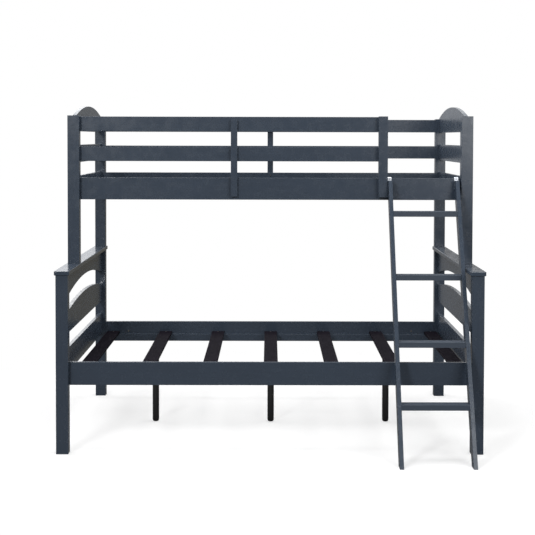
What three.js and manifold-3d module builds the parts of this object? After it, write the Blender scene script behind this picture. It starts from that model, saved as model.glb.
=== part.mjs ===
// A bunk bed: a narrow upper bed stands on a wide lower bed, flush with it at the back,
// and a ladder leans on the upper bed's front rail. Millimetres, +Z up.
// X runs along the beds, -Y is the ladder's side, and the origin is on the floor, at the
// centre of the whole footprint.
import * as THREE from "three";
import { mergeVertices } from "three/addons/utils/BufferGeometryUtils.js";
import Module from "manifold-3d";

const wasm = await Module();
wasm.setup();

// Overall sizes
const BED_LENGTH = 2000; // over the posts
const FOOTPRINT_DEPTH = 1795; // from the ladder's foot to the back edge of the caps
const LOWER_WIDTH = 1499; // over the lower bed's posts
const UPPER_WIDTH = 1108; // over the upper bed's posts
const GAP = 0.3; // left between two pieces that touch

// Posts and caps
const POST = 57; // square section
const CAP_OVERHANG = 7;
const CAP_THICKNESS = 20;
const CAP_CORNER = 9; // radius of the corners seen from above
const CAP_BULLNOSE = 3; // radius of the rounded top and bottom edges
const CAP_TOP = 859;
const UPPER_POST_TOP = 1589.5;

// Long boards
const BOARD = 20; // thickness of side rails, ledgers and guard rails
const SIDE_RAIL_HEIGHT = 108.5;
const LOWER_RAIL_BOTTOM = 319.5;
const UPPER_RAIL_BOTTOM = 1174;
const LEDGER_HEIGHT = 40;

// Slats
const SLAT_WIDTH = 70;
const SLAT_THICKNESS = 14;
const SLAT_SPACING = 300;
const SLATS_EACH_WAY = 3; // slats on each side of the middle one
const SLAT_OFFSET = 4; // of the middle slat from the middle of the bed
const LAST_SLAT_SHIFT = 14; // the last slat lies this much nearer to the end board
const SLAT_END_CLEARANCE = 4;

// Guard rails round the upper bed
const GUARD_HEIGHT = 71;
const GUARD_BOTTOMS = { lower: 1364.5, upper: 1514 };
const GUARD_SLAT_WIDTH = 32;
const GUARD_SLAT_SPAN = [1190, 1569]; // bottom and top
const FRONT_GUARD_SLAT_X = -180;
const GUARD_POST_WIDTH = 45;
const GUARD_POST_SPAN = [1188, 1588];

// Boards across the ends. Each edge is straight at a height, or an arc with a crest and a radius.
const END_BOARD = 18;
const TENON_THICKNESS = 9;
const TENON_LENGTH = 28;
const TENON_SHOULDER = 12; // from the top and bottom of a board's end to its tenon
const ARC_SEGMENTS = 28;
const LOWER_END_RAILS = [
  { name: "arch_rail", low: { crest: 773.5, radius: 3900 }, high: { z: CAP_TOP - CAP_THICKNESS - GAP } },
  { name: "middle_rail", low: { z: 550 }, high: { crest: 688.5, radius: 5300 } },
  { name: "bottom_rail", low: { z: 360 }, high: { z: 478 } },
];
const UPPER_END_RAILS = [
  { name: "arch_rail", low: { z: 1512 }, high: { crest: 1645, radius: 2360 } },
  { name: "middle_rail", low: { z: 1356.5 }, high: { z: 1444.5 } },
  { name: "bottom_rail", low: { z: 1174 }, high: { z: 1288.5 } },
];

// Legs under the middle of the lower slats
const SUPPORT_RADIUS = 17;
const SUPPORT_TIP_RADIUS = 5; // flat part of the rounded foot
const SUPPORT_TIP_HEIGHT = 14;
const SUPPORT_SIDES = 28;

// Ladder
const LADDER_WIDTH = 350;
const LADDER_X = 756.4; // centre
const LADDER_SLOPE = 0.523; // how far it leans back for each unit of height
const STILE_THICKNESS = 19;
const STILE_DEPTH = 70; // measured along the floor
const STILE_TOP = 1271.5;
const RUNG_THICKNESS = 25;
const RUNG_DEPTH = 72;
const RUNG_SETBACK = 2; // behind the front edge of the stiles, at mid-thickness
const RUNG_TOPS = [264, 530.5, 828.5, 1123.5];
const RUNG_TENON = { length: 10, depth: 44, thickness: 11 };
const LADDER_TO_GUARD_POST = 2;

// Ladder hooks: a flat bar bent over the side rail
const HOOK_WIDTH = 19;
const HOOK_BAR = 5;
const HOOK_FRONT_DROP = 54; // below the rail's top edge, behind the stile
const HOOK_BACK_DROP = 22;
const HOOK_BEND = 7; // outer radius

const POST_X = BED_LENGTH / 2 - POST / 2;
const RAIL_END_X = BED_LENGTH / 2 - POST - GAP;
const BACK_Y = FOOTPRINT_DEPTH / 2 - CAP_OVERHANG;
const LOWER_FRONT_Y = BACK_Y - LOWER_WIDTH;
const UPPER_FRONT_Y = BACK_Y - UPPER_WIDTH;
const LOWER_MIDDLE_Y = BACK_Y - LOWER_WIDTH / 2;
const UPPER_MIDDLE_Y = BACK_Y - UPPER_WIDTH / 2;
const CAP_BOTTOM = CAP_TOP - CAP_THICKNESS;
const GUARD_POST_X = LADDER_X - LADDER_WIDTH / 2 - LADDER_TO_GUARD_POST - GUARD_POST_WIDTH / 2;

const paint = new THREE.MeshStandardMaterial({ color: 0x3e4652, roughness: 0.5, metalness: 0 });
const darkStain = new THREE.MeshStandardMaterial({ color: 0x2a272f, roughness: 0.7, metalness: 0 });
const blackPaint = new THREE.MeshStandardMaterial({ color: 0x1c1c1e, roughness: 0.5, metalness: 0 });
const zinc = new THREE.MeshStandardMaterial({ color: 0xd4d8dc, roughness: 0.35, metalness: 1 });

// Turns a shape drawn in (Y, Z) and extruded upwards so that it is extruded along X.
const ALONG_X = new THREE.Matrix4().makeBasis(
  new THREE.Vector3(0, 1, 0),
  new THREE.Vector3(0, 0, 1),
  new THREE.Vector3(1, 0, 0),
);

const bed = new THREE.Group();

// ---------- helpers ----------

// A mesh of its own material copy, so that each piece can be recoloured alone.
function piece(name, geometry, material, x, y, z) {
  const mesh = new THREE.Mesh(geometry, material.clone());
  mesh.name = name;
  mesh.position.set(x, y, z);
  return mesh;
}

// A board between two heights, centred on x and y.
function board(name, sizeX, sizeY, [bottom, top], material, x, y) {
  const geometry = new THREE.BoxGeometry(sizeX, sizeY, top - bottom);
  return piece(name, geometry, material, x, y, (bottom + top) / 2);
}

// An outline in (Y, Z) made into a plate of the given thickness, centred on X = 0.
function plateAlongX(shape, thickness) {
  const options = { depth: thickness, bevelEnabled: false, curveSegments: ARC_SEGMENTS };
  const geometry = new THREE.ExtrudeGeometry(shape, options);
  geometry.translate(0, 0, -thickness / 2);
  return geometry.applyMatrix4(ALONG_X);
}

// A mesh's geometry as a solid, in its parent's frame.
function solidOf(mesh) {
  const bare = mesh.geometry.clone();
  bare.deleteAttribute("normal");
  bare.deleteAttribute("uv");
  mesh.updateMatrix();
  const merged = mergeVertices(bare.applyMatrix4(mesh.matrix), 1e-3);
  const vertProperties = new Float32Array(merged.attributes.position.array);
  const triVerts = new Uint32Array(merged.index.array);
  return new wasm.Manifold(new wasm.Mesh({ numProp: 3, vertProperties, triVerts }));
}

// Puts a solid, given in the parent's frame, back into a mesh.
function setSolid(mesh, solid) {
  const { numProp, vertProperties, triVerts } = solid.getMesh();
  const positions = new Float32Array((vertProperties.length / numProp) * 3);
  for (let vertex = 0; vertex * numProp < vertProperties.length; vertex += 1) {
    const start = vertex * numProp;
    positions.set(vertProperties.subarray(start, start + 3), vertex * 3);
  }
  const geometry = new THREE.BufferGeometry();
  geometry.setAttribute("position", new THREE.BufferAttribute(positions, 3));
  geometry.setIndex(new THREE.BufferAttribute(new Uint32Array(triVerts), 1));
  geometry.applyMatrix4(mesh.matrix.clone().invert());
  mesh.geometry = geometry.toNonIndexed();
  mesh.geometry.computeVertexNormals();
}

function join(mesh, additions) {
  const whole = additions.reduce((solid, extra) => solid.add(solidOf(extra)), solidOf(mesh));
  setSolid(mesh, whole);
}

function carve(mesh, tools) {
  const left = tools.reduce((solid, tool) => solid.subtract(solidOf(tool)), solidOf(mesh));
  setSolid(mesh, left);
}

// ---------- end frames ----------

// Height of a board's edge at a distance from the board's middle.
function edgeHeight(edge, distance) {
  if (edge.radius === undefined) return edge.z;
  return edge.crest - edge.radius + Math.sqrt(edge.radius ** 2 - distance ** 2);
}

// Draws one edge from -half to half (direction 1) or back again (direction -1).
function traceEdge(shape, edge, half, direction) {
  if (edge.radius === undefined) {
    shape.lineTo(-direction * half, edge.z);
    shape.lineTo(direction * half, edge.z);
    return;
  }
  const spread = Math.asin(half / edge.radius);
  const from = Math.PI / 2 + direction * spread;
  const to = Math.PI / 2 - direction * spread;
  shape.absarc(0, edge.crest - edge.radius, edge.radius, from, to, direction > 0);
}

function endBoardGeometry(rail, half) {
  const shape = new THREE.Shape();
  shape.moveTo(-half, edgeHeight(rail.low, half));
  traceEdge(shape, rail.low, half, 1);
  shape.lineTo(half, edgeHeight(rail.high, half));
  traceEdge(shape, rail.high, half, -1);
  return plateAlongX(shape, END_BOARD);
}

// The tenon at one end of an end board, half in the board and half in the post.
function endTenon(rail, half, x, y, clearance) {
  const bottom = edgeHeight(rail.low, half) + TENON_SHOULDER - clearance;
  const top = edgeHeight(rail.high, half) - TENON_SHOULDER + clearance;
  const thickness = TENON_THICKNESS + 2 * clearance;
  const length = 2 * (TENON_LENGTH + clearance);
  return board("tenon", thickness, length, [bottom, top], paint, x, y);
}

// Two posts and the boards between them, mortised and tenoned, at one end of a bed.
function addEndFrame({ level, side, x, frontY, postSpan, rails }) {
  const innerFaces = [frontY + POST, BACK_Y - POST];
  const middleY = (frontY + BACK_Y) / 2;
  const half = (innerFaces[1] - innerFaces[0]) / 2 - GAP;
  const posts = [
    board(`${level}_front_${side}_post`, POST, POST, postSpan, paint, x, frontY + POST / 2),
    board(`${level}_back_${side}_post`, POST, POST, postSpan, paint, x, BACK_Y - POST / 2),
  ];
  posts.forEach((post, end) => {
    carve(post, rails.map((rail) => endTenon(rail, half, x, innerFaces[end], GAP)));
    bed.add(post);
  });
  for (const rail of rails) {
    const name = `${level}_${side}_${rail.name}`;
    const mesh = piece(name, endBoardGeometry(rail, half), paint, x, middleY, 0);
    join(mesh, innerFaces.map((faceY) => endTenon(rail, half, x, faceY, 0)));
    bed.add(mesh);
  }
}

// The flat board on top of a lower end frame, with rounded corners and edges.
function capGeometry() {
  const halfX = POST / 2 + CAP_OVERHANG - CAP_BULLNOSE;
  const halfY = LOWER_WIDTH / 2 + CAP_OVERHANG - CAP_BULLNOSE;
  const corner = CAP_CORNER - CAP_BULLNOSE;
  const shape = new THREE.Shape();
  shape.absarc(halfX - corner, halfY - corner, corner, 0, Math.PI / 2);
  shape.absarc(corner - halfX, halfY - corner, corner, Math.PI / 2, Math.PI);
  shape.absarc(corner - halfX, corner - halfY, corner, Math.PI, 1.5 * Math.PI);
  shape.absarc(halfX - corner, corner - halfY, corner, 1.5 * Math.PI, 2 * Math.PI);
  const geometry = new THREE.ExtrudeGeometry(shape, {
    depth: CAP_THICKNESS - 2 * CAP_BULLNOSE,
    bevelThickness: CAP_BULLNOSE,
    bevelSize: CAP_BULLNOSE,
    bevelSegments: 5,
    curveSegments: 3,
  });
  return geometry.translate(0, 0, CAP_BULLNOSE);
}

// ---------- beds ----------

// Distance from a post's front face to the side rail's outer face, so the inner faces are flush.
const RAIL_RECESS = POST - BOARD;

function sideRail(name, y, bottom) {
  const span = [bottom, bottom + SIDE_RAIL_HEIGHT];
  return board(name, 2 * RAIL_END_X, BOARD, span, paint, 0, y);
}

function ledger(name, y, bottom) {
  return board(name, 2 * RAIL_END_X, BOARD, [bottom, bottom + LEDGER_HEIGHT], paint, 0, y);
}

function slatX(index) {
  return SLAT_OFFSET + index * SLAT_SPACING;
}

function addSlats(level, frontY, railBottom) {
  const length = BACK_Y - frontY - 2 * (POST + SLAT_END_CLEARANCE);
  const bottom = railBottom + LEDGER_HEIGHT + GAP;
  for (let index = -SLATS_EACH_WAY; index <= SLATS_EACH_WAY; index += 1) {
    const name = `${level}_slat_${index + SLATS_EACH_WAY + 1}`;
    const nudge = index === SLATS_EACH_WAY ? LAST_SLAT_SHIFT : 0;
    const x = slatX(index) + nudge;
    const middleY = (frontY + BACK_Y) / 2;
    const span = [bottom, bottom + SLAT_THICKNESS];
    bed.add(board(name, SLAT_WIDTH, length, span, darkStain, x, middleY));
  }
}

// A round leg with a rounded foot, from the floor to the underside of a slat.
function supportLegGeometry() {
  const top = LOWER_RAIL_BOTTOM + LEDGER_HEIGHT;
  const profile = new THREE.Path();
  profile.moveTo(0, 0);
  profile.lineTo(SUPPORT_TIP_RADIUS, 0);
  profile.quadraticCurveTo(SUPPORT_RADIUS, 0, SUPPORT_RADIUS, SUPPORT_TIP_HEIGHT);
  profile.lineTo(SUPPORT_RADIUS, top);
  profile.lineTo(0, top);
  return new THREE.LatheGeometry(profile.getPoints(4), SUPPORT_SIDES).rotateX(Math.PI / 2);
}

function addLowerBed() {
  const postSpan = [0, CAP_BOTTOM - GAP];
  for (const [side, x] of [["left", -POST_X], ["right", POST_X]]) {
    addEndFrame({ level: "lower", side, x, frontY: LOWER_FRONT_Y, postSpan, rails: LOWER_END_RAILS });
    bed.add(piece(`${side}_cap`, capGeometry(), paint, x, LOWER_MIDDLE_Y, CAP_BOTTOM));
  }
  const frontRailY = LOWER_FRONT_Y + RAIL_RECESS + BOARD / 2;
  const backRailY = BACK_Y - RAIL_RECESS - BOARD / 2;
  bed.add(sideRail("lower_front_side_rail", frontRailY, LOWER_RAIL_BOTTOM));
  bed.add(sideRail("lower_back_side_rail", backRailY, LOWER_RAIL_BOTTOM));
  bed.add(ledger("lower_front_ledger", frontRailY + BOARD + GAP, LOWER_RAIL_BOTTOM));
  bed.add(ledger("lower_back_ledger", backRailY - BOARD - GAP, LOWER_RAIL_BOTTOM));
  addSlats("lower", LOWER_FRONT_Y, LOWER_RAIL_BOTTOM);
  [["left", -1], ["middle", 0], ["right", 1]].forEach(([name, step]) => {
    const x = slatX(2 * step);
    bed.add(piece(`${name}_support_leg`, supportLegGeometry(), blackPaint, x, LOWER_MIDDLE_Y, 0));
  });
}

// A side rail of the upper bed, with its glued ledger as one piece.
function addUpperSideRail(name, y, inward) {
  const rail = sideRail(name, y, UPPER_RAIL_BOTTOM);
  const halfway = y + (inward * BOARD) / 2;
  const strip = board("ledger", 2 * RAIL_END_X, 2 * BOARD, [0, LEDGER_HEIGHT], paint, 0, halfway);
  strip.position.z += UPPER_RAIL_BOTTOM;
  join(rail, [strip]);
  bed.add(rail);
}

function addGuards(frontRailY, backRailY) {
  const guardPostRight = GUARD_POST_X + GUARD_POST_WIDTH / 2;
  const frontLength = guardPostRight + RAIL_END_X;
  const frontX = (guardPostRight - RAIL_END_X) / 2;
  for (const [name, bottom] of Object.entries(GUARD_BOTTOMS)) {
    const span = [bottom, bottom + GUARD_HEIGHT];
    bed.add(board(`front_${name}_guard_rail`, frontLength, BOARD, span, paint, frontX, frontRailY));
    bed.add(board(`back_${name}_guard_rail`, 2 * RAIL_END_X, BOARD, span, paint, 0, backRailY));
  }
  const frontSlatY = frontRailY - BOARD - GAP;
  const backSlatY = backRailY + BOARD + GAP;
  const [width, slatSpan] = [GUARD_SLAT_WIDTH, GUARD_SLAT_SPAN];
  bed.add(board("front_guard_slat", width, BOARD, slatSpan, paint, FRONT_GUARD_SLAT_X, frontSlatY));
  bed.add(board("back_guard_slat", width, BOARD, slatSpan, paint, 0, backSlatY));
  const depth = RAIL_RECESS - GAP;
  const y = UPPER_FRONT_Y + depth / 2;
  bed.add(board("guard_post", GUARD_POST_WIDTH, depth, GUARD_POST_SPAN, paint, GUARD_POST_X, y));
}

function addUpperBed() {
  const postSpan = [CAP_TOP + GAP, UPPER_POST_TOP];
  for (const [side, x] of [["left", -POST_X], ["right", POST_X]]) {
    addEndFrame({ level: "upper", side, x, frontY: UPPER_FRONT_Y, postSpan, rails: UPPER_END_RAILS });
  }
  const frontRailY = UPPER_FRONT_Y + RAIL_RECESS + BOARD / 2;
  const backRailY = BACK_Y - RAIL_RECESS - BOARD / 2;
  addUpperSideRail("upper_front_side_rail", frontRailY, 1);
  addUpperSideRail("upper_back_side_rail", backRailY, -1);
  addSlats("upper", UPPER_FRONT_Y, UPPER_RAIL_BOTTOM);
  addGuards(frontRailY, backRailY);
}

// ---------- ladder ----------

// In the ladder's own frame y is measured back from the front edge of the foot.
const RAIL_FRONT_Y = UPPER_FRONT_Y + RAIL_RECESS + FOOTPRINT_DEPTH / 2;
const RAIL_TOP = UPPER_RAIL_BOTTOM + SIDE_RAIL_HEIGHT;
const STILE_CUT_Y = RAIL_FRONT_Y - HOOK_BAR - 2 * GAP;

// Side view of a stile: a flat foot, a level top, and a plumb cut behind the top for the hook.
function stileGeometry() {
  const shape = new THREE.Shape();
  shape.moveTo(0, 0);
  shape.lineTo(STILE_DEPTH, 0);
  shape.lineTo(STILE_CUT_Y, (STILE_CUT_Y - STILE_DEPTH) / LADDER_SLOPE);
  shape.lineTo(STILE_CUT_Y, STILE_TOP);
  shape.lineTo(STILE_TOP * LADDER_SLOPE, STILE_TOP);
  return plateAlongX(shape, STILE_THICKNESS);
}

// Side view of a hook: a bar that goes up behind the stile, over the rail and down inside it.
function hookGeometry() {
  const front = RAIL_FRONT_Y - GAP - HOOK_BAR;
  const back = RAIL_FRONT_Y + BOARD + GAP + HOOK_BAR;
  const top = RAIL_TOP + GAP + HOOK_BAR;
  const shape = new THREE.Shape();
  shape.moveTo(front, RAIL_TOP - HOOK_FRONT_DROP);
  shape.lineTo(front + HOOK_BAR, RAIL_TOP - HOOK_FRONT_DROP);
  shape.lineTo(front + HOOK_BAR, RAIL_TOP + GAP);
  shape.lineTo(back - HOOK_BAR, RAIL_TOP + GAP);
  shape.lineTo(back - HOOK_BAR, RAIL_TOP - HOOK_BACK_DROP);
  shape.lineTo(back, RAIL_TOP - HOOK_BACK_DROP);
  shape.absarc(back - HOOK_BEND, top - HOOK_BEND, HOOK_BEND, 0, Math.PI / 2);
  shape.absarc(front + HOOK_BEND, top - HOOK_BEND, HOOK_BEND, Math.PI / 2, Math.PI);
  const geometry = new THREE.ExtrudeGeometry(shape, {
    depth: HOOK_WIDTH,
    bevelEnabled: false,
    curveSegments: 5,
  });
  return geometry.translate(0, 0, -HOOK_WIDTH / 2).applyMatrix4(ALONG_X);
}

function rungY(top) {
  return (top - RUNG_THICKNESS / 2) * LADDER_SLOPE + RUNG_SETBACK + RUNG_DEPTH / 2;
}

// The tenon at one end of a rung, half in the rung and half in the stile.
function rungTenon(top, x, clearance) {
  const { length, depth, thickness } = RUNG_TENON;
  const middle = top - RUNG_THICKNESS / 2;
  const half = thickness / 2 + clearance;
  const span = [middle - half, middle + half];
  const sizeX = 2 * (length + clearance);
  return board("tenon", sizeX, depth + 2 * clearance, span, paint, x, rungY(top));
}

function addLadder() {
  const ladder = new THREE.Group();
  ladder.position.set(LADDER_X, -FOOTPRINT_DEPTH / 2, 0);
  const innerX = LADDER_WIDTH / 2 - STILE_THICKNESS;
  const rungLength = 2 * (innerX - GAP);
  for (const [side, direction] of [["left", -1], ["right", 1]]) {
    const x = direction * (innerX + STILE_THICKNESS / 2);
    const stile = piece(`ladder_${side}_stile`, stileGeometry(), paint, x, 0, 0);
    carve(stile, RUNG_TOPS.map((top) => rungTenon(top, direction * innerX, GAP)));
    ladder.add(stile);
    ladder.add(piece(`ladder_${side}_hook`, hookGeometry(), zinc, x, 0, 0));
  }
  RUNG_TOPS.forEach((top, index) => {
    const span = [top - RUNG_THICKNESS, top];
    const rung = board(`rung_${index + 1}`, rungLength, RUNG_DEPTH, span, paint, 0, rungY(top));
    join(rung, [-innerX, innerX].map((x) => rungTenon(top, x, 0)));
    ladder.add(rung);
  });
  bed.add(ladder);
}

addLowerBed();
addUpperBed();
addLadder();

export default bed;
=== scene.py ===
"""Looks of the bunk bed with a ladder: satin paint, stained slats, fasteners and a soft studio."""
import math

import bmesh
import bpy
from mathutils import Matrix, Vector


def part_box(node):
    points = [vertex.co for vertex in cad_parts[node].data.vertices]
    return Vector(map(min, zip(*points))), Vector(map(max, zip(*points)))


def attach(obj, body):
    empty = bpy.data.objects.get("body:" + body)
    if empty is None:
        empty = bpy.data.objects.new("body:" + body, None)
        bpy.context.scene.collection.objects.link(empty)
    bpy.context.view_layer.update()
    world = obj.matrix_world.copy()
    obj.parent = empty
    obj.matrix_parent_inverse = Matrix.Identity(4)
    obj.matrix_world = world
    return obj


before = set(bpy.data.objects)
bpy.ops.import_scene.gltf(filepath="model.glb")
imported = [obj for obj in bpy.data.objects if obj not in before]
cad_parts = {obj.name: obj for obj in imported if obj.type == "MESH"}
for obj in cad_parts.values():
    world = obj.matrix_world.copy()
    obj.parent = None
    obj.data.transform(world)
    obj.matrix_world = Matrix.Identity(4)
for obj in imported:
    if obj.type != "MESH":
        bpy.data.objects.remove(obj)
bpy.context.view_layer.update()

# Camera, solved for the viewing angle
CAMERA_PLACE = (-0.0045, -6.8751, 1.4809)
CAMERA_PITCH = 0.038753  # radians below the horizon
CAMERA_YAW = 0.00495  # radians towards +X
CAMERA_ROLL = 0.00227
CAMERA_LENS = 90.87  # millimetres, on a sensor 36 mm wide
CAMERA_SHIFT = (-0.01615, -0.1444)

# Colours, as sRGB values from 0 to 255
PAINT = (54, 64, 77)
PAINT_RUBBED = (76, 86, 99)
STAIN = (25, 22, 29)
STAIN_LIGHT = (38, 35, 41)
BLACK = (26, 26, 27)
BLACK_RUBBED = (54, 54, 55)
ZINC = (232, 236, 241)
ZINC_DULL = (214, 219, 227)
RIVET_STEEL = (176, 182, 192)
BOLT_STEEL = (92, 88, 84)
BOLT_WORN = (150, 146, 140)
FLOOR = (200, 200, 200)
FLOOR_REFLECTED = (120, 120, 120)
FLOOR_GLOW = 0.45  # what the floor adds to the light it gets, so that shadows stay faint

PAINT_LOOK = {"roughness": 0.25, "grain": 0.05, "depth": 0.00006}
CAP_ROUGHNESS = 0.15
RUNG_ROUGHNESS = 0.6
LADDER_SLOPE = 0.523  # metres the ladder leans back for each metre up

# Scales of the paint's and stain's textures: how many features fit in a metre, more or less
CLOUD_SCALE = 2.3
PATCH_SCALE = 26.0
STREAK_SCALE = 150.0
FIBRE_SCALE = 620.0
STIPPLE_SCALE = 900.0
GRAIN_SQUEEZE = 0.045  # along the grain, so that streaks grow long
EDGE_WEAR_WIDTH = 0.003  # metres
EDGE_WEAR = 0.38  # how far a rubbed edge goes towards the rubbed colour

# Scales of the metals' textures
BRUSH_SCALE = 2600.0
DULLING_SCALE = 130.0

# Floor's opaque middle and its rim, in metres from the origin
FLOOR_SOLID = 1.3
FLOOR_REACH = 2.5

# Brightness of the room round the object, as linear colours. The back wall has a low part, a
# part level with the eye and a band above it. Higher up it is bright at both sides and dim in the
# middle, and above that comes the ceiling. Heights and sides are parts of a unit direction.
ROOM_FRONT = (0.22, 0.22, 0.22, 1.0)
BACK_LEFT = {
    "low": (0.21, 0.21, 0.21, 1.0),
    "level": (0.48, 0.49, 0.51, 1.0),
    "band": (0.80, 0.82, 0.86, 1.0),
    "high": (2.80, 2.80, 2.80, 1.0),
}
BACK_RIGHT = {
    "low": (0.14, 0.13, 0.105, 1.0),
    "level": (0.26, 0.255, 0.24, 1.0),
    "band": (0.12, 0.115, 0.11, 1.0),
    "high": (1.30, 1.30, 1.30, 1.0),
}
BACK_HEIGHTS = {"level": (-0.09, 0.0), "band": (0.03, 0.08)}
HIGH_MIDDLE = (0.16, 0.16, 0.17, 1.0)
HIGH_START = (0.130, 0.155)
SIDE_START = (0.105, 0.125)
CEILING = (0.22, 0.22, 0.22, 1.0)
CEILING_START = (0.40, 0.50)
MIDDLE_BLEND = 0.10  # half the width over which the left half turns into the right one
FRONT_BLEND = 0.3  # half the depth over which the back wall turns into the front

# Rounding of the CAD parts' edges, in metres
POST_ROUND = 0.0011
BOARD_ROUND = 0.0009
SLAT_ROUND = 0.0009
HOOK_ROUND = 0.0005
LEG_ROUND = 0.0012
ROUND_SEGMENTS = 3
SHARP_ANGLE = math.radians(32)
WELD_DISTANCE = 0.00002

# Fasteners, in metres
RING_SIDES = 28
SINK = 0.0004  # how far a head's base is set into the wood
SLATS = 7  # on each bed
RUNGS = 4
SLAT_SCREW_INSET = 0.016  # from a slat's end
BOLT_INSET = 0.027  # from a side rail's top and bottom edge
BARREL_NUT_FROM_END = 0.189  # from the bed's end
BARREL_NUT_ABOVE_LEDGER = 0.014  # whose top is taken to be the slats' underside
BOARD = 0.020  # thickness of the side rails and guard rails
GUARD_SCREW_SPREAD = 0.018  # above and below a rail's middle
RUNG_PLUG_SPREAD = 0.016  # before and behind a rung's middle

# Turns of the heads' recesses, so that no two line up
SLAT_SCREW_TURN = 0.7  # radians from one slat to the next
BOLT_TURN = 40.0  # radians for each metre up
GUARD_SCREW_TURN = 60.0  # radians for each metre up
RIVET_TURN = 0.3  # radians

# Studio lights, as place, target, size and power in watts
LIGHTS = {
    "key": ((-2.3, -5.6, 3.2), (0.0, 0.0, 0.9), (1.0, 1.0), 145.0),
    "top": ((0.0, 0.2, 4.6), (0.0, 0.2, 0.0), (5.0, 4.0), 255.0),
    "softbox": ((2.1, -3.6, 2.15), (0.8, 0.0, 1.5), (1.6, 1.7), 48.0),
}


# ---------- shader helpers ----------

def linear(colour):
    """An sRGB colour from 0 to 255 as linear red, green, blue and alpha."""
    parts = [part / 255 for part in colour]
    curve = [p / 12.92 if p <= 0.04045 else ((p + 0.055) / 1.055) ** 2.4 for p in parts]
    return (*curve, 1.0)


class Graph:
    """A node tree with short ways to add nodes and link them."""

    def __init__(self, tree):
        self.tree = tree
        self.tree.nodes.clear()

    def add(self, kind, settings=None, **inputs):
        """A new node. An input is a value or another node's output socket."""
        node = self.tree.nodes.new(kind)
        for name, value in (settings or {}).items():
            setattr(node, name, value)
        for name, value in inputs.items():
            self.put(node.inputs[name.replace("_", " ")], value)
        return node

    def put(self, socket, value):
        if isinstance(value, bpy.types.NodeSocket):
            self.tree.links.new(value, socket)
        else:
            socket.default_value = value

    def math(self, operation, first, second=0.0):
        node = self.add("ShaderNodeMath", {"operation": operation})
        self.put(node.inputs[0], first)
        self.put(node.inputs[1], second)
        return node.outputs[0]

    def span(self, value, from_low, from_high, to_low, to_high, smooth=False):
        """A value moved from one span to another and clamped to it."""
        kind = "SMOOTHSTEP" if smooth else "LINEAR"
        node = self.add("ShaderNodeMapRange", {"interpolation_type": kind}, Value=value)
        ends = (from_low, from_high, to_low, to_high)
        for name, end in zip(("From Min", "From Max", "To Min", "To Max"), ends):
            node.inputs[name].default_value = end
        return node.outputs[0]

    def mix(self, share, first, second):
        """The first colour where share is 0 and the second where it is 1."""
        node = self.add("ShaderNodeMix", {"data_type": "RGBA"})
        self.put(node.inputs["Factor"], share)
        self.put(node.inputs["A"], first)
        self.put(node.inputs["B"], second)
        return node.outputs["Result"]

    def noise(self, vector, scale, detail=3.0, roughness=0.55):
        node = self.add("ShaderNodeTexNoise", Vector=vector, Scale=scale)
        node.inputs["Detail"].default_value = detail
        node.inputs["Roughness"].default_value = roughness
        return node.outputs[0]


def surface(name, build):
    """A material whose shader sockets are filled by build(graph, shader)."""
    material = bpy.data.materials.new(name)
    material.use_nodes = True
    graph = Graph(material.node_tree)
    shader = graph.add("ShaderNodeBsdfPrincipled")
    output = graph.add("ShaderNodeOutputMaterial")
    graph.put(output.inputs["Surface"], shader.outputs["BSDF"])
    build(graph, shader)
    return material


def edge_mask(graph, radius, texture):
    """1 on an edge that is rubbed through in patches, 0 on the flat."""
    rounded = graph.add("ShaderNodeBevel", {"samples": 4}, Radius=radius)
    flat = graph.add("ShaderNodeNewGeometry").outputs["Normal"]
    turn = graph.add("ShaderNodeVectorMath", {"operation": "DOT_PRODUCT"})
    graph.put(turn.inputs[0], rounded.outputs[0])
    graph.put(turn.inputs[1], flat)
    bent = graph.span(turn.outputs["Value"], 0.995, 0.90, 0.0, 1.0)
    patches = graph.span(texture, 0.42, 0.62, 0.15, 1.0)
    return graph.math("MULTIPLY", bent, patches)


def grain_vector(graph, axis, lean=0.0):
    """Object coordinates squeezed along the grain, so that a noise makes long streaks."""
    place = graph.add("ShaderNodeTexCoord").outputs["Object"]
    if lean:
        turned = graph.add("ShaderNodeMapping", Vector=place)
        turned.inputs["Rotation"].default_value = (lean, 0.0, 0.0)
        place = turned.outputs[0]
    squeezed = graph.add("ShaderNodeMapping", Vector=place)
    scales = [GRAIN_SQUEEZE if i == axis else 1.0 for i in range(3)]
    squeezed.inputs["Scale"].default_value = scales
    return squeezed.outputs[0]


# ---------- materials ----------

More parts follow.
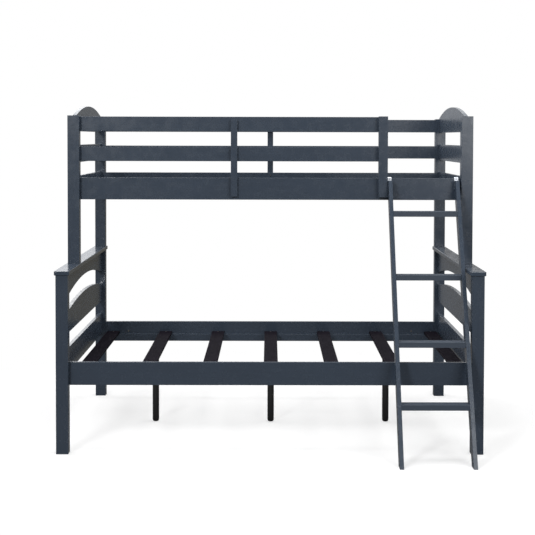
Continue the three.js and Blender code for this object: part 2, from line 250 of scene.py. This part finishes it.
def wood_material(name, colour, rubbed, axis, *, roughness, grain, depth, specular=0.5, lean=0.0):
    """Paint or stain on wood whose grain runs along an axis."""

    def build(graph, shader):
        place = graph.add("ShaderNodeTexCoord").outputs["Object"]
        along = grain_vector(graph, axis, lean)
        clouds = graph.noise(place, CLOUD_SCALE, 2.0)
        streaks = graph.noise(along, STREAK_SCALE, 4.0, 0.6)
        fibres = graph.noise(along, FIBRE_SCALE, 3.0, 0.65)
        stipple = graph.noise(place, STIPPLE_SCALE, 2.0)
        patches = graph.noise(place, PATCH_SCALE, 4.0)
        tone = graph.span(clouds, 0.3, 0.7, -0.05, 0.05)
        tone = graph.math("ADD", tone, graph.span(streaks, 0.3, 0.7, -grain, grain))
        tone = graph.math("ADD", tone, graph.span(fibres, 0.35, 0.65, -grain / 2, grain / 2))
        tone = graph.math("ADD", tone, 1.0)
        toned = graph.add("ShaderNodeVectorMath", {"operation": "SCALE"}, Scale=tone)
        toned.inputs[0].default_value = linear(colour)[:3]
        worn = graph.math("MULTIPLY", edge_mask(graph, EDGE_WEAR_WIDTH, patches), EDGE_WEAR)
        graph.put(shader.inputs["Base Color"], graph.mix(worn, toned.outputs[0], linear(rubbed)))
        gloss = graph.span(patches, 0.3, 0.7, roughness - 0.05, roughness + 0.06)
        gloss = graph.math("SUBTRACT", gloss, graph.math("MULTIPLY", worn, 0.2))
        graph.put(shader.inputs["Roughness"], gloss)
        relief = graph.math("ADD", streaks, graph.math("MULTIPLY", fibres, 0.6))
        relief = graph.math("ADD", relief, graph.math("MULTIPLY", stipple, 0.2))
        bump = graph.add("ShaderNodeBump", Height=relief, Strength=0.55, Distance=depth)
        graph.put(shader.inputs["Normal"], bump.outputs[0])
        shader.inputs["Specular IOR Level"].default_value = specular

    return surface(name, build)


def metal_material(name, colour, dull, roughness):
    """Plated steel with a fine brushed grain and cloudy dulling."""

    def build(graph, shader):
        place = graph.add("ShaderNodeTexCoord").outputs["Object"]
        brushed = graph.noise(grain_vector(graph, 0), BRUSH_SCALE, 2.0)
        clouds = graph.noise(place, DULLING_SCALE, 4.0)
        share = graph.span(clouds, 0.38, 0.66, 0.0, 0.7)
        graph.put(shader.inputs["Base Color"], graph.mix(share, linear(colour), linear(dull)))
        gloss = graph.span(clouds, 0.3, 0.7, roughness - 0.06, roughness + 0.1)
        graph.put(shader.inputs["Roughness"], gloss)
        bump = graph.add("ShaderNodeBump", Height=brushed, Strength=0.3, Distance=0.00004)
        graph.put(shader.inputs["Normal"], bump.outputs[0])
        shader.inputs["Metallic"].default_value = 1.0

    return surface(name, build)


def painted(name, axis, **changes):
    """The bed's satin paint, on a grain along an axis, with any changes to its usual look."""
    return wood_material(name, PAINT, PAINT_RUBBED, axis, **{**PAINT_LOOK, **changes})


paint = [painted(f"paint_{letter}", axis) for axis, letter in enumerate("xyz")]
stile_paint = painted("paint_stile", 2, lean=-math.atan(LADDER_SLOPE))
cap_paint = painted("paint_cap", 1, roughness=CAP_ROUGHNESS)
rung_paint = painted("paint_rung", 0, roughness=RUNG_ROUGHNESS)
stain = wood_material(
    "slat_stain", STAIN, STAIN_LIGHT, 1, roughness=0.8, grain=0.30, depth=0.0004, specular=0.03
)
black = wood_material(
    "leg_black", BLACK, BLACK_RUBBED, 2, roughness=0.45, grain=0.10, depth=0.0002
)
zinc = metal_material("zinc_plate", ZINC, ZINC_DULL, 0.42)
rivet_steel = metal_material("rivet_steel", RIVET_STEEL, ZINC_DULL, 0.35)
bolt_steel = metal_material("bolt_steel", BOLT_STEEL, BOLT_WORN, 0.38)


# ---------- CAD parts ----------

def finish_node(name, material, width):
    """Gives a CAD node its material, rounded edges and smooth shading."""
    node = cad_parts[name]
    node.data.materials.clear()
    node.data.materials.append(material)
    node.data.polygons.foreach_set("use_smooth", [True] * len(node.data.polygons))
    weld = node.modifiers.new("weld", "WELD")
    weld.merge_threshold = WELD_DISTANCE
    if width:
        bevel = node.modifiers.new("rounding", "BEVEL")
        bevel.width = width
        bevel.segments = ROUND_SEGMENTS
        bevel.limit_method = "ANGLE"
        bevel.angle_limit = SHARP_ANGLE
    normals = node.modifiers.new("normals", "WEIGHTED_NORMAL")
    normals.keep_sharp = False
    normals.weight = 100


def look_of(name):
    """The material and edge rounding of a CAD node, by its name."""
    if name.endswith("_stile"):
        return stile_paint, BOARD_ROUND
    if name.startswith("rung_"):
        return rung_paint, BOARD_ROUND
    if name.endswith("_hook"):
        return zinc, HOOK_ROUND
    if name.endswith("_support_leg"):
        return black, LEG_ROUND
    if name.endswith("_cap"):
        return cap_paint, 0.0
    if name.endswith("_post"):
        return paint[2], POST_ROUND
    if "guard_slat" in name:
        return paint[2], BOARD_ROUND
    if "_slat_" in name:
        return stain, SLAT_ROUND
    if name.endswith(("_arch_rail", "_middle_rail", "_bottom_rail")):
        return paint[1], BOARD_ROUND
    return paint[0], BOARD_ROUND


for node_name in sorted(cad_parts):
    finish_node(node_name, *look_of(node_name))


# ---------- fasteners ----------

def ring(bm, radius, height):
    turns = [2 * math.pi * i / RING_SIDES for i in range(RING_SIDES)]
    return [bm.verts.new((radius * math.cos(t), radius * math.sin(t), height)) for t in turns]


def loop_edges(bm, verts):
    return [bm.edges.new((v, verts[(i + 1) % len(verts)])) for i, v in enumerate(verts)]


def bridge(bm, lower, upper):
    """Faces between two loops of the same number of vertices."""
    count = len(lower)
    for i in range(count):
        j = (i + 1) % count
        bm.faces.new((lower[i], lower[j], upper[j], upper[i]))


def head_mesh(name, profile, recess=None, recess_depth=0.0):
    """A turned head on z = 0. The profile is (radius, height) from the rim up, and the recess
    an outline cut into its flat top."""
    bm = bmesh.new()
    rings = [ring(bm, radius, height) for radius, height in profile]
    for lower, upper in zip(rings, rings[1:]):
        bridge(bm, lower, upper)
    bm.faces.new(rings[0][::-1])
    if recess:
        top = profile[-1][1]
        rim = [bm.verts.new((x, y, top)) for x, y in recess]
        floor = [bm.verts.new((x * 0.72, y * 0.72, top - recess_depth)) for x, y in recess]
        outline = [bm.edges.get((a, b)) for a, b in zip(rings[-1], rings[-1][1:] + rings[-1][:1])]
        bmesh.ops.triangle_fill(bm, edges=outline + loop_edges(bm, rim), use_beauty=True)
        bridge(bm, floor, rim)
        bm.faces.new(floor)
    else:
        bm.faces.new(rings[-1])
    bmesh.ops.recalc_face_normals(bm, faces=bm.faces)
    mesh = bpy.data.meshes.new(name)
    bm.to_mesh(mesh)
    bm.free()
    return mesh


def cross_outline(reach, half_width):
    """A plus sign, anticlockwise."""
    arm = [(reach, -half_width), (reach, half_width), (half_width, half_width)]
    quarters = [Matrix.Rotation(math.radians(90 * turn), 2) for turn in range(4)]
    return [tuple(quarter @ Vector(point)) for quarter in quarters for point in arm]


def hexagon_outline(radius):
    turns = [math.radians(60 * i) for i in range(6)]
    return [(radius * math.cos(t), radius * math.sin(t)) for t in turns]


def facing(place, direction, spin=0.0):
    """The matrix that puts a head at a place, with its top towards a direction."""
    turn = Vector(direction).to_track_quat("Z", "Y").to_matrix().to_4x4()
    sunk = Vector(place) - Vector(direction).normalized() * SINK
    return Matrix.Translation(sunk) @ turn @ Matrix.Rotation(spin, 4, "Z")


def scatter(name, mesh, places, body, material):
    """One piece made of copies of a mesh, each at its own place."""
    whole = bmesh.new()
    for place in places:
        copy = mesh.copy()
        copy.transform(place)
        whole.from_mesh(copy)
        bpy.data.meshes.remove(copy)
    made = bpy.data.meshes.new(name)
    whole.to_mesh(made)
    whole.free()
    made.materials.append(material)
    made.polygons.foreach_set("use_smooth", [True] * len(made.polygons))
    made.set_sharp_from_angle(angle=SHARP_ANGLE)
    piece = bpy.data.objects.new(name, made)
    bpy.context.scene.collection.objects.link(piece)
    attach(piece, body)


wood_screw = head_mesh(
    "wood_screw",
    [(0.0040, 0.0), (0.0040, 0.0006), (0.0037, 0.0011), (0.0030, 0.0014)],
    cross_outline(0.0021, 0.00045),
    0.0010,
)
connector_bolt = head_mesh(
    "connector_bolt",
    [(0.0085, 0.0), (0.0085, 0.0012), (0.0080, 0.0019), (0.0068, 0.0023)],
    hexagon_outline(0.0029),
    0.0018,
)
barrel_nut = head_mesh(
    "barrel_nut",
    [(0.0050, 0.0), (0.0050, 0.0005), (0.0046, 0.0009), (0.0042, 0.0010)],
    [(0.0036, -0.0007), (0.0036, 0.0007), (-0.0036, 0.0007), (-0.0036, -0.0007)],
    0.0008,
)
rivet = head_mesh(
    "rivet",
    [(0.0042, 0.0), (0.0041, 0.0008), (0.0036, 0.0014), (0.0027, 0.0018)],
    cross_outline(0.0019, 0.00045),
    0.0010,
)
dowel_plug = head_mesh(
    "dowel_plug",
    [(0.0052, 0.0), (0.0052, 0.0005), (0.0047, 0.0010), (0.0035, 0.0013), (0.0014, 0.0014)],
)


def slat_screws(level):
    places = []
    for index in range(1, SLATS + 1):
        low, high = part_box(f"{level}_slat_{index}")
        x = (low.x + high.x) / 2
        for y in (low.y + SLAT_SCREW_INSET, high.y - SLAT_SCREW_INSET):
            places.append(facing((x, y, high.z), (0, 0, 1), spin=SLAT_SCREW_TURN * index))
    scatter(f"{level}_slat_screws", wood_screw, places, "bed", bolt_steel)


def side_bolts(level):
    """Bolt heads on the posts' outer faces, in line with the side rails."""
    places = []
    for side, direction in (("left", -1), ("right", 1)):
        for row in ("front", "back"):
            low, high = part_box(f"{level}_{row}_{side}_post")
            rail_low, rail_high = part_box(f"{level}_{row}_side_rail")
            x = low.x if direction < 0 else high.x
            y = rail_low.y + BOARD / 2 if row == "front" else rail_high.y - BOARD / 2
            for z in (rail_low.z + BOLT_INSET, rail_high.z - BOLT_INSET):
                places.append(facing((x, y, z), (direction, 0, 0), spin=BOLT_TURN * z))
    scatter(f"{level}_side_bolts", connector_bolt, places, "bed", bolt_steel)


def barrel_nuts(level):
    """Cross dowels on the side rails' inner faces, above the ledgers."""
    places = []
    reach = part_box("lower_front_right_post")[1].x - BARREL_NUT_FROM_END
    for row, direction in (("front", 1), ("back", -1)):
        low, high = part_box(f"{level}_{row}_side_rail")
        y = low.y + BOARD if row == "front" else high.y - BOARD
        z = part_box(f"{level}_slat_1")[0].z + BARREL_NUT_ABOVE_LEDGER
        for x in (-reach, reach):
            places.append(facing((x, y, z), (0, direction, 0)))
    scatter(f"{level}_barrel_nuts", barrel_nut, places, "bed", bolt_steel)


def guard_screws(row, uprights, direction):
    """Screws through the guard rails and the side rail into the uprights outside them."""
    places = []
    ledger_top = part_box("upper_slat_1")[0].z
    for upright in uprights:
        low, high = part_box(upright)
        x = (low.x + high.x) / 2
        for rail in ("upper_{}_side_rail", "{}_lower_guard_rail", "{}_upper_guard_rail"):
            rail_low, rail_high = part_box(rail.format(row))
            y = rail_low.y + BOARD if row == "front" else rail_high.y - BOARD
            middle = (max(rail_low.z, ledger_top) + rail_high.z) / 2
            for z in (middle - GUARD_SCREW_SPREAD, middle + GUARD_SCREW_SPREAD):
                places.append(facing((x, y, z), (0, direction, 0), spin=GUARD_SCREW_TURN * z))
    scatter(f"{row}_guard_screws", wood_screw, places, "bed", bolt_steel)


def rung_plugs():
    """Painted plugs over the screws that hold the rungs, on the stiles' outer faces."""
    places = []
    for index in range(1, RUNGS + 1):
        low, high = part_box(f"rung_{index}")
        middle = (low + high) / 2
        for side, direction in (("left", -1), ("right", 1)):
            stile_low, stile_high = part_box(f"ladder_{side}_stile")
            x = stile_low.x if direction < 0 else stile_high.x
            for y in (middle.y - RUNG_PLUG_SPREAD, middle.y + RUNG_PLUG_SPREAD):
                places.append(facing((x, y, middle.z), (direction, 0, 0)))
    scatter("rung_plugs", dowel_plug, places, "ladder", paint[2])


def hook_rivets():
    """A rivet in the middle of each hook's face above the stile."""
    places = []
    for side in ("left", "right"):
        low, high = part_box(f"ladder_{side}_hook")
        stile_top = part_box(f"ladder_{side}_stile")[1].z
        place = ((low.x + high.x) / 2, low.y, (stile_top + high.z) / 2)
        places.append(facing(place, (0, -1, 0), spin=RIVET_TURN))
    scatter("hook_rivets", rivet, places, "ladder", rivet_steel)


for bed_level in ("lower", "upper"):
    slat_screws(bed_level)
    side_bolts(bed_level)
    barrel_nuts(bed_level)
guard_screws("front", ("front_guard_slat", "guard_post"), 1)
guard_screws("back", ("back_guard_slat",), -1)
rung_plugs()
hook_rivets()


# ---------- studio ----------

def floor_material():
    """A matt pale floor, dimmer in reflections, that fades out into the backdrop at its rim."""

    def build(graph, shader):
        place = graph.add("ShaderNodeTexCoord").outputs["Object"]
        cloudy = graph.span(graph.noise(place, 3.0), 0.3, 0.7, 0.85, 0.95)
        graph.put(shader.inputs["Roughness"], cloudy)
        seen = graph.add("ShaderNodeLightPath").outputs["Is Camera Ray"]
        shade = graph.mix(seen, linear(FLOOR_REFLECTED), linear(FLOOR))
        graph.put(shader.inputs["Base Color"], shade)
        shader.inputs["Emission Color"].default_value = (1.0, 1.0, 1.0, 1.0)
        graph.put(shader.inputs["Emission Strength"], graph.math("MULTIPLY", seen, FLOOR_GLOW))
        shader.inputs["Specular IOR Level"].default_value = 0.1
        reach = graph.add("ShaderNodeVectorMath", {"operation": "LENGTH"})
        graph.put(reach.inputs[0], place)
        fade = graph.span(reach.outputs["Value"], FLOOR_SOLID, FLOOR_REACH, 1.0, 0.0, smooth=True)
        graph.put(shader.inputs["Alpha"], fade)

    return surface("studio_floor", build)


def add_floor():
    mesh = bpy.data.meshes.new("studio_floor")
    reach = FLOOR_REACH
    corners = [(-reach, -reach, 0), (reach, -reach, 0), (reach, reach, 0), (-reach, reach, 0)]
    mesh.from_pydata(corners, [], [(0, 1, 2, 3)])
    mesh.materials.append(floor_material())
    floor = bpy.data.objects.new("studio_floor", mesh)
    bpy.context.scene.collection.objects.link(floor)


def add_light(name, place, target, size, power):
    data = bpy.data.lights.new(name, "AREA")
    data.shape = "RECTANGLE"
    data.size, data.size_y = size
    data.energy = power
    light = bpy.data.objects.new(name, data)
    light.visible_camera = False
    light.location = place
    light.rotation_euler = (Vector(target) - Vector(place)).to_track_quat("-Z", "Y").to_euler()
    bpy.context.scene.collection.objects.link(light)


def add_world():
    """White behind the object for the camera, and a soft room for light and reflections."""
    world = bpy.data.worlds.new("studio")
    world.use_nodes = True
    bpy.context.scene.world = world
    graph = Graph(world.node_tree)
    direction = graph.add("ShaderNodeTexCoord").outputs["Generated"]
    axes = graph.add("ShaderNodeSeparateXYZ", Vector=direction).outputs
    right = graph.span(axes["X"], -MIDDLE_BLEND, MIDDLE_BLEND, 0.0, 1.0, smooth=True)
    front = graph.span(axes["Y"], FRONT_BLEND, -FRONT_BLEND, 0.0, 1.0, smooth=True)
    back = graph.mix(right, BACK_LEFT["low"], BACK_RIGHT["low"])
    for part, (start, end) in BACK_HEIGHTS.items():
        share = graph.span(axes["Z"], start, end, 0.0, 1.0, smooth=True)
        back = graph.mix(share, back, graph.mix(right, BACK_LEFT[part], BACK_RIGHT[part]))
    side = graph.span(graph.math("ABSOLUTE", axes["X"]), *SIDE_START, 0.0, 1.0, smooth=True)
    high = graph.mix(side, HIGH_MIDDLE, graph.mix(right, BACK_LEFT["high"], BACK_RIGHT["high"]))
    for part, (start, end) in ((high, HIGH_START), (CEILING, CEILING_START)):
        back = graph.mix(graph.span(axes["Z"], start, end, 0.0, 1.0, smooth=True), back, part)
    room = graph.mix(front, back, ROOM_FRONT)
    seen = graph.add("ShaderNodeLightPath").outputs["Is Camera Ray"]
    shown = graph.mix(seen, room, (1.0, 1.0, 1.0, 1.0))
    background = graph.add("ShaderNodeBackground", Color=shown, Strength=1.0)
    output = graph.add("ShaderNodeOutputWorld")
    graph.put(output.inputs["Surface"], background.outputs[0])


def add_camera():
    data = bpy.data.cameras.new("camera")
    data.sensor_width = 36.0
    data.lens = CAMERA_LENS
    data.shift_x, data.shift_y = CAMERA_SHIFT
    camera = bpy.data.objects.new("camera", data)
    aim = Matrix.Rotation(-CAMERA_YAW, 4, "Z") @ Matrix.Rotation(math.pi / 2 - CAMERA_PITCH, 4, "X")
    roll = Matrix.Rotation(CAMERA_ROLL, 4, "Z")
    camera.matrix_world = Matrix.Translation(CAMERA_PLACE) @ aim @ roll
    bpy.context.scene.collection.objects.link(camera)
    bpy.context.scene.camera = camera


add_floor()
add_world()
for light_name, light_settings in LIGHTS.items():
    add_light(light_name, *light_settings)
add_camera()
bpy.context.scene.view_settings.view_transform = "Standard"
